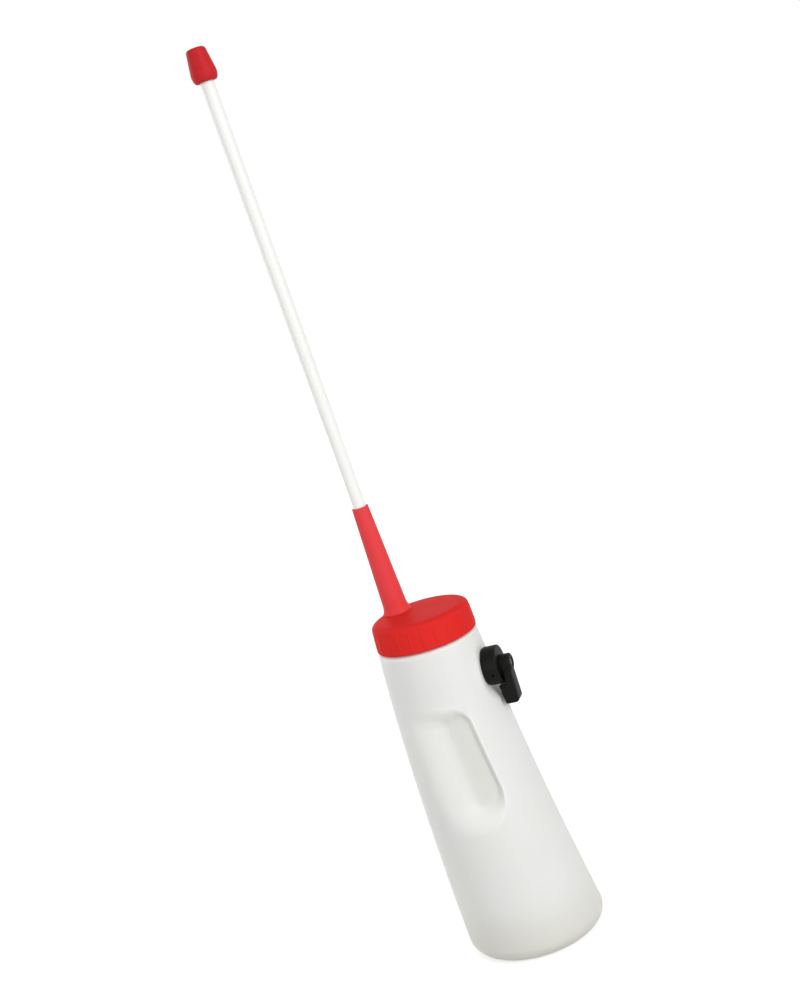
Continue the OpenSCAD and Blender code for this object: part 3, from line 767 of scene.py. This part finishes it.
def make_bottle():
    """The blown bottle: one closed wall with a threaded neck and a hole for the tap's tail."""
    stand_out = FOOT_R - FOOT_ROUND
    stand_in = stand_out - STAND_W
    dish = stand_in - DISH_SLOPE_W
    ledge_in = LEDGE_R - LEDGE_ROUND
    ledge_under = BOTTLE_H - WALL
    under = [(0, DISH_H), (dish / 2, DISH_H), (dish - 1, DISH_H), (dish + 1, DISH_H - 0.4),
             (stand_in - 1, 0.4), (stand_in + 0.5, 0), (stand_out - 3, 0)]
    neck_foot = [(NECK_R + 0.25, BOTTLE_H + 0.15), (NECK_R, BOTTLE_H + 0.6)]
    mouth_foot = [(MOUTH_R, BOTTLE_H - 1), (MOUTH_R + 0.4, ledge_under + 0.4), (MOUTH_R + 1.2, ledge_under)]
    outside = (under + arc((stand_out, FOOT_ROUND), FOOT_ROUND, -90, 0, 16)[:-1]
               + [(side_r(z), z) for z in side_rows(1)]
               + arc((ledge_in, SIDE_TOP), LEDGE_ROUND, 0, 90, 8)[1:] + neck_foot
               + [(NECK_R, z) for z in spread(BOTTLE_H + 3, RIM_Z - RIM_ROUND, 4)]
               + arc((NECK_R - RIM_ROUND, RIM_Z - RIM_ROUND), RIM_ROUND, 0, 90, 5))
    inside = (arc((MOUTH_R + RIM_ROUND, RIM_Z - RIM_ROUND), RIM_ROUND, 90, 180, 5)
              + [(MOUTH_R, z) for z in spread(RIM_Z - 4, BOTTLE_H, 4)] + mouth_foot
              + arc((ledge_in, SIDE_TOP), LEDGE_ROUND - WALL, 90, 0, 5)
              + [(side_r(z) - WALL, z) for z in reversed(side_rows(1.6)[:-1])]
              + arc((stand_out, FOOT_ROUND), FOOT_ROUND - WALL, 0, -90, 10)[1:]
              + [(stand_in, WALL), (dish, DISH_H + WALL), (0, DISH_H + WALL)])
    columns = bottle_columns()
    bottle = turned("bottle", outside + inside, columns)
    outer_count = 1 + (len(outside) - 1) * len(columns)
    inner_count = len(bottle.data.vertices) - outer_count
    walls = bottle.data.attributes.new("inset", "FLOAT", "POINT")
    walls.data.foreach_set("value", [0.0] * outer_count + [WALL] * inner_count)
    sizes = {
        "Depth": GRIP_DEPTH, "Low end": GRIP_LO, "High end": GRIP_HI,
        "Low run": GRIP_LO_RUN, "High run": GRIP_HI_RUN,
        "Low corner width": GRIP_LO_CORNER_W, "Low corner height": GRIP_LO_CORNER_H,
        "High corner width": GRIP_HI_CORNER_W, "High corner height": GRIP_HI_CORNER_H,
        "Edge": GRIP_EDGE, "Full": GRIP_EDGE + GRIP_STEEP,
        "Steep run": GRIP_STEEP, "Steep share": GRIP_STEEP_SHARE, "Gentle run": GRIP_GENTLE,
        "Soft": GRIP_SOFT, "Soft run": GRIP_SOFT_RUN, "Soft angle": (GRIP_SOFT + GRIP_MARGIN) / GRIP_R,
        "Column radius": GRIP_R, "Seat columns": SEAT_COLUMNS,
        "Foot radius": FOOT_R, "Top radius": LEDGE_R, "Side foot": FOOT_ROUND, "Side top": SIDE_TOP,
        "Shift": FOOT_SHIFT, "Shift power": SHIFT_POWER,
        "Seat height": TAP_Z, "Seat radius": COLLAR_R + SEAT_RIM, "Seat blend": SEAT_BLEND,
        "Seat face": SEAT_X, "Seat back": -SEAT_T / WALL, "Material": HDPE}
    grown(bottle, blown_wall(sizes), sizes)
    hole_reach = 8
    carve(bottle, "DIFFERENCE",
          bar("tail_hole", TAIL_R + TAIL_GAP, -SEAT_T - hole_reach, hole_reach, ON_TAP, 64))
    ridge = make_thread("neck_thread", NECK_R, THREAD_Z, HDPE)
    return piece(joined(bottle, ridge), HDPE, "bottle", "bottle", "bottle_shell", crease=40)


def make_cap():
    """The screw cap: ribbed skirt, wide rounded shoulder, thread inside, and the spout's seat and nipple."""
    shoulder_z = CAP_H - CAP_EDGE_H
    skirt_foot = [(CAP_BORE_R, 0.6), (CAP_BORE_R + 0.4, 0),
                  (CAP_R - 0.5, 0), (CAP_R - 0.15, 0.15), (CAP_R, 0.5)]
    draft = [(CAP_R + (CAP_TOP_R - CAP_R) * h / shoulder_z, h) for h in spread(1.2, shoulder_z, 4)]
    shoulder = [(CAP_TOP_R - CAP_EDGE_W * (1 - cos(radians(a))), CAP_H - CAP_EDGE_H * (1 - sin(radians(a))))
                for a in spread(0, 90, 6)]
    profile = ([(0, CAP_UNDER), (CAP_BORE_R - CAP_CORNER, CAP_UNDER), (CAP_BORE_R, CAP_UNDER - CAP_CORNER)]
               + [(CAP_BORE_R, h) for h in spread(16, 1, 5)] + skirt_foot + draft + shoulder
               + [(CAP_TOP_R - CAP_EDGE_W, CAP_H), (20, CAP_H), (0, CAP_H)])
    cap = turned("cap", profile, 192, place=Matrix.Translation((0, 0, CAP_Z)))
    nipple = bar("nipple", NIPPLE_R, -SPOUT_SINK, NIPPLE_H, ON_SPOUT, 64)
    seat_proud = 0.02
    seat = bar("spout_seat", SPOUT_SEAT_R, CAP_UNDER + OVER, CAP_H + seat_proud,
               Matrix.Translation((SPOUT_X, SPOUT_Y, CAP_Z)), 96)
    carve(cap, "UNION", seat, nipple)
    passage_reach = 4
    carve(cap, "DIFFERENCE", bar("passage", PASSAGE_R, CAP_UNDER - CAP_H - passage_reach,
                                 NIPPLE_H + passage_reach, ON_SPOUT, 48))

    rib_len = shoulder_z - RIB_FOOT
    rib_profile = ([(0, 0)] + arc((0, RIB_HALF), RIB_HALF, -90, 0, 4)[1:] + [(RIB_HALF, rib_len / 2)]
                   + arc((0, rib_len - RIB_HALF), RIB_HALF, 0, 90, 4)[:-1] + [(0, rib_len)])
    follow = Matrix.Rotation(-atan((CAP_R - CAP_TOP_R) / shoulder_z), 4, "Y")
    flatten = Matrix.Diagonal((RIB_DEPTH / RIB_HALF, 1, 1, 1))
    stand = Matrix.Translation((CAP_R + RIB_OUT - RIB_DEPTH, 0, CAP_Z + RIB_FOOT))
    rib = turned("rib", rib_profile, 20, place=stand @ follow @ flatten)
    sizes = {"Count": RIB_COUNT, "Material": RED}
    ribs = grown(rib, round_ribs(sizes), sizes)
    ridge = make_thread("cap_thread", CAP_BORE_R, THREAD_Z - THREAD_PITCH / 2, RED)
    return piece(joined(cap, ribs, ridge), RED, "cap", "cap", "screw_cap")


def make_spout():
    """The tapered spout with a flared foot, pushed over the nipple."""
    lip, chamfer = 0.6, 0.3
    flare_z = 0.8
    nipple_end = NIPPLE_H + 0.2
    nipple_r, socket_r, socket_z = NIPPLE_R + FIT, TUBE_R + FIT, TUBE_Z - FIT
    taper_h = SPOUT_H - SPOUT_TAPER_Z
    taper = [(SPOUT_BASE_R + (SPOUT_TOP_R - SPOUT_BASE_R) * (h - SPOUT_TAPER_Z) / taper_h, h)
             for h in spread(SPOUT_FLARE_H, SPOUT_H - lip, 12)]
    flare = [(SPOUT_BASE_R + (SPOUT_FOOT_R - SPOUT_BASE_R) * (1 - t) ** 2,
              flare_z + (SPOUT_FLARE_H - flare_z) * t) for t in spread(0, 1, 0.125)]
    profile = ([(nipple_r, -SPOUT_SINK), (SPOUT_FOOT_R, -SPOUT_SINK)] + flare + taper
               + arc((SPOUT_TOP_R - lip, SPOUT_H - lip), lip, 0, 90, 4)
               + [(socket_r + chamfer, SPOUT_H), (socket_r, SPOUT_H - chamfer), (socket_r, socket_z),
                  (TUBE_BORE_R, socket_z), (TUBE_BORE_R, nipple_end), (nipple_r, nipple_end)])
    spout = turned("tapered_spout", profile, 96, looped=True, place=ON_SPOUT)
    for point in spout.data.vertices:
        point.co.z = max(point.co.z, CAP_TOP_Z)
    return piece(spout, SPOUT_RED, "cap", "spout", "spout")


def make_tube():
    """The stiff drench tube, its ends lightly chamfered."""
    chamfer = 0.3
    top = TUBE_Z + TUBE_LEN
    profile = ([(TUBE_BORE_R, TUBE_Z + chamfer), (TUBE_BORE_R + chamfer, TUBE_Z), (TUBE_R - chamfer, TUBE_Z)]
               + [(TUBE_R, h) for h in spread(TUBE_Z + chamfer, top - chamfer, 30)]
               + [(TUBE_R, top - chamfer), (TUBE_R - chamfer, top), (TUBE_BORE_R + chamfer, top)]
               + [(TUBE_BORE_R, h) for h in spread(top - chamfer, TUBE_Z + chamfer, 30)])
    tube = turned("tube", profile, 64, looped=True, place=ON_SPOUT)
    return piece(tube, TUBE_WHITE, "cap", "tube", "drench_tube")


def make_tip():
    """The soft tip: a swollen foot that narrows to a rounded end with the outlet in it."""
    chamfer, outlet_round = 0.4, 0.8
    socket_r, socket_end = TUBE_R + FIT, TIP_SEAT + FIT
    shoulder_z = TIP_LEN - TIP_ROUND
    swell = [(TIP_FOOT_R + (TIP_BELLY_R - TIP_FOOT_R) * sin(radians(a)), TIP_BELLY_Z * (1 - cos(radians(a))))
             for a in spread(8, 90, 10)]
    narrow = [(TIP_BELLY_R + (TIP_TOP_R - TIP_BELLY_R) * t, TIP_BELLY_Z + (shoulder_z - TIP_BELLY_Z) * t)
              for t in spread(0, 1, 0.2)]
    profile = ([(socket_r, chamfer), (socket_r + chamfer, 0), (TIP_FOOT_R - chamfer, 0)] + swell + narrow
               + arc((TIP_TOP_R - TIP_ROUND, shoulder_z), TIP_ROUND, 0, 90, 8)
               + arc((TUBE_BORE_R + outlet_round, TIP_LEN - outlet_round), outlet_round, 90, 180, 4)
               + [(TUBE_BORE_R, socket_end), (socket_r, socket_end)])
    tip = turned("tip", profile, 72, looped=True, place=ON_SPOUT @ Matrix.Translation((0, 0, TIP_Z)))
    return piece(tip, TIP_RED, "cap", "tip", "tube_tip")


def make_tap_body():
    """The tap's body: rounded collar, tail through the wall, stop groove and air inlet."""
    bore_chamfer, tail_chamfer, face_chamfer = 0.4, 0.6, 0.3
    bore_r = SPINDLE_R + FIT
    collar_mid = 8.75
    profile = ([(bore_r, TAIL_END + bore_chamfer), (bore_r + bore_chamfer, TAIL_END),
                (TAIL_R - tail_chamfer, TAIL_END), (TAIL_R, TAIL_END + tail_chamfer), (TAIL_R, COLLAR_BACK)]
               + arc((COLLAR_R - COLLAR_EDGE, COLLAR_BACK + COLLAR_EDGE), COLLAR_EDGE, -90, 0, 5)
               + [(COLLAR_R, collar_mid)]
               + arc((COLLAR_R - COLLAR_EDGE, COLLAR_FACE - COLLAR_EDGE), COLLAR_EDGE, 0, 90, 5)
               + [(bore_r + face_chamfer, COLLAR_FACE), (bore_r, COLLAR_FACE - face_chamfer)])
    body = turned("tap_collar", profile, 96, looped=True, place=ON_TAP)
    room = STOP_PIN_R + STOP_GAP
    past = asin(room / STOP_R)
    low, high = COLLAR_FACE - STOP_DEPTH - STOP_GAP, COLLAR_FACE + OVER
    corners = ((STOP_R - room, low), (STOP_R - room, high), (STOP_R + room, high), (STOP_R + room, low))
    steps = 24
    sections = []
    for i in range(steps + 1):
        a = -pi / 2 - past + (pi / 2 + 2 * past) * i / steps
        sections.append([(r * cos(a), r * sin(a), h) for r, h in corners])
    groove = lofted("stop_groove", sections, ON_TAP)
    to_side = (Matrix.Rotation(INLET_AT, 4, "Z") @ Matrix.Translation((0, 0, INLET_Z))
               @ Matrix.Rotation(pi / 2, 4, "Y"))
    inlet = bar("inlet", INLET_R, 1, COLLAR_R + 2 * OVER, ON_TAP @ to_side, 24)
    carve(body, "DIFFERENCE", groove, inlet)
    return piece(body, BLACK, "bottle", "tap", "tap_body")


def blade_section(along, low, high, half, edge):
    """A section across the lever's blade: a rectangle with rounded corners that never meet."""
    edge = min(edge, half * 0.9, (high - low) * 0.45)
    corners = []
    for y, h, start in ((half - edge, low + edge, -90), (half - edge, high - edge, 0),
                        (edge - half, high - edge, 90), (edge - half, low + edge, 180)):
        corners += arc((y, h), edge, start, start + 90, 4)
    return [(along, y, h) for y, h in corners]


def make_lever():
    """The lever: a round hub, a blade that reaches back past the collar, and the stop pin."""
    hub_profile = ([(0, LEVER_FOOT), (HUB_R, LEVER_FOOT)]
                   + arc((HUB_R - HUB_ROUND, HUB_TOP - HUB_ROUND), HUB_ROUND, 0, 80, 6)
                   + [(HUB_R - 3.2, HUB_TOP), (0, HUB_TOP)])
    lever = turned("lever", hub_profile, 64, place=ON_TAP)
    step_x = COLLAR_R + BLADE_GAP
    end_round, corner_round = 4.0, 3.0
    stations = [2, 6, 9, 12, 15, step_x - 0.05, step_x + 0.5, 20, 24, 28, 31]
    stations += [LEVER_LEN - end_round + end_round * sin(radians(a)) for a in (0, 20, 38, 54, 68, 80, 90)]
    neck = LEVER_HALF * LEVER_NECK
    sections = []
    for x in stations:
        half = neck + (LEVER_HALF - neck) * min(x / (LEVER_LEN - corner_round), 1)
        into_corner = max(x - LEVER_LEN + corner_round, 0)
        half -= corner_round - sqrt(max(corner_round ** 2 - into_corner ** 2, 0))
        into_end = max(x - LEVER_LEN + end_round, 0)
        top = BLADE_TOP - (end_round - sqrt(max(end_round ** 2 - into_end ** 2, 0)))
        along = (x - step_x) / (LEVER_LEN - step_x)
        foot = LEVER_FOOT if x < step_x else BLADE_ROOT + (BLADE_FOOT - BLADE_ROOT) * along
        sections.append(blade_section(x, foot, top, half, BLADE_EDGE))
    blade = lofted("blade", sections, ON_TAP)
    pin = bar("stop_pin", STOP_PIN_R, COLLAR_FACE - STOP_DEPTH, LEVER_FOOT + 2 * OVER,
              ON_TAP @ Matrix.Translation((STOP_R, 0, 0)), 24)
    carve(lever, "UNION", blade, pin)
    square = [[(x, y, h) for x, y in box_corners(DRIVE_HALF, DRIVE_HALF)]
              for h in (LEVER_FOOT - OVER, DRIVE_TOP + DRIVE_GAP)]
    carve(lever, "DIFFERENCE", lofted("drive", square, ON_TAP),
          bar("screw_way", SHANK_R + SCREW_GAP, DRIVE_TOP - OVER, HEAD_Z + OVER, ON_TAP),
          bar("head_seat", HEAD_R + SCREW_GAP, HEAD_Z, HUB_TOP + 2 * OVER, ON_TAP))
    return piece(lever, BLACK, "tap_handle", "tap", "tap_lever")


def make_screw():
    """The lever's screw: a domed head with a cross recess, and its shank."""
    shank = [(0, SHANK_FOOT), (SHANK_R - 0.5, SHANK_FOOT), (SHANK_R, SHANK_FOOT + 0.5), (SHANK_R, HEAD_Z)]
    head = [(HEAD_R - inward, HEAD_Z + up) for inward, up in
            ((0.2, 0), (0, 0.2), (0, 0.8), (0.35, 1.3), (1.1, 1.65), (2.2, HEAD_T), (HEAD_R, HEAD_T))]
    screw = turned("lever_screw", shank + head, 40, place=ON_TAP)
    narrow, over = 0.5, 0.5
    slots = []
    for turn in (0, pi / 2):
        spin = Matrix.Rotation(turn, 4, "Z")
        slot = [[spin @ Vector((x * share, y, h)) for x, y in box_corners(RECESS_LEN, RECESS_HALF)]
                for share, h in ((narrow, HEAD_Z + HEAD_T - RECESS_DEPTH), (1, HEAD_Z + HEAD_T + over))]
        slots.append(lofted("recess", slot, ON_TAP))
    carve(screw, "DIFFERENCE", *slots)
    return piece(screw, STEEL, "tap_handle", "screw", "tap_screw")


def make_camera():
    """The camera: aimed at the cap's foot, rolled, then swung so that the cap shows where it should."""
    right, up = Vector((1, 0, 0)), Vector((0, sin(CAMERA_RISE), cos(CAMERA_RISE)))
    ahead = Vector((0, cos(CAMERA_RISE), -sin(CAMERA_RISE)))
    c, s = cos(CAMERA_ROLL), sin(CAMERA_ROLL)
    axes = Matrix((right * c + up * s, up * c - right * s, ahead)).transposed()
    sight = Vector(((CAP_SHOWS[0] - FRAME_W / 2) / FOCAL, (FRAME_H / 2 - CAP_SHOWS[1]) / FOCAL, 1))
    axes = axes @ sight.normalized().rotation_difference(Vector((0, 0, 1))).to_matrix()
    axes = Matrix((axes.col[0], axes.col[1], -axes.col[2])).transposed()
    place = Matrix.Translation((0, 0, CAP_Z * MM)) @ Matrix.Rotation(CAMERA_TURN, 4, "Z")
    lens = bpy.data.cameras.new("camera")
    lens.sensor_fit = "VERTICAL"
    lens.sensor_height = SENSOR
    lens.lens = FOCAL / FRAME_H * SENSOR
    camera = bpy.data.objects.new("camera", lens)
    camera.matrix_world = place @ Matrix.Translation(-ahead * CAMERA_AWAY * MM) @ axes.to_4x4()
    bpy.context.collection.objects.link(camera)
    bpy.context.scene.camera = camera


def make_lamp(name, across, near, height, size, power):
    """A square soft lamp, placed in metres across and towards the camera from the bottle's axis."""
    right = Vector((cos(CAMERA_TURN), sin(CAMERA_TURN), 0))
    towards = Vector((sin(CAMERA_TURN), -cos(CAMERA_TURN), 0))
    light = bpy.data.lights.new(name, "AREA")
    light.size = size
    light.energy = power
    lamp = bpy.data.objects.new(name, light)
    lamp.location = right * across + towards * near + Vector((0, 0, height))
    lamp.rotation_euler = (Vector((0, 0, LAMP_AIM_Z)) - lamp.location).to_track_quat("-Z", "Y").to_euler()
    lamp.visible_camera = False
    bpy.context.collection.objects.link(lamp)
    return lamp


def background_rays(tree):
    """1 for the rays that show the background: to the camera, off a gloss, and through a clear piece."""
    path = add_node(tree, "ShaderNodeLightPath").outputs
    seen = calc(tree, "MAXIMUM", path["Is Camera Ray"], path["Is Glossy Ray"])
    return calc(tree, "MAXIMUM", seen, path["Is Transmission Ray"])


def make_studio():
    """A white floor and surround, a large soft lamp from the right, and weaker ones left and behind."""
    floor = shape("floor", [(x, y, 0) for x, y in box_corners(FLOOR_HALF, FLOOR_HALF)], [[0, 1, 2, 3]])
    paint = bpy.data.materials.new("white_matt_floor")
    paint.use_nodes = True
    tree = paint.node_tree
    tree.nodes.clear()
    matt = add_node(tree, "ShaderNodeBsdfDiffuse", {"Color": linear("#D6D6D4")})
    # The lamps make up the white near the object, where its shadow shows, and the glow does so further off
    off = add_node(tree, "ShaderNodeVectorMath", {0: add_node(tree, "ShaderNodeTexCoord").outputs["Object"]},
                   operation="LENGTH").outputs["Value"]
    white = ramp(tree, off, GLOW_FROM, GLOW_TO, GLOW_NEAR, GLOW_FAR)
    lit = calc(tree, "MULTIPLY", background_rays(tree), white)
    glow = add_node(tree, "ShaderNodeEmission", {"Strength": lit})
    both = add_node(tree, "ShaderNodeAddShader", {0: matt, 1: glow})
    add_node(tree, "ShaderNodeOutputMaterial", {"Surface": both})
    floor.data.materials.append(paint)

    world = bpy.data.worlds.new("white_surround")
    bpy.context.scene.world = world
    world.use_nodes = True
    tree = world.node_tree
    tree.nodes.clear()
    level = ramp(tree, background_rays(tree), 0, 1, SURROUND_LIGHT, 1.0)
    sky = add_node(tree, "ShaderNodeBackground", {"Color": linear("#FFFFFF"), "Strength": level})
    add_node(tree, "ShaderNodeOutputWorld", {"Surface": sky})

    make_lamp("key_lamp", *KEY_LAMP)
    make_lamp("fill_lamp", *FILL_LAMP)
    make_lamp("side_lamp", *SIDE_LAMP)
    # Its mirror image would wash out the top of the cap
    make_lamp("back_lamp", *BACK_LAMP).visible_glossy = False
    bpy.context.scene.view_settings.view_transform = "Standard"


make_camera()
make_bottle()
make_cap()
make_spout()
make_tube()
make_tip()
make_tap_body()
make_lever()
make_screw()
for node, material in (("cap_seal", SILICONE), ("tap_gasket", RUBBER), ("tap_slip_washer", NYLON),
                       ("tap_back_nut", BLACK), ("tap_spindle", ACETAL), ("tap_o_rings", RUBBER)):
    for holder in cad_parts[node].material_slots:
        holder.material = material
make_studio()
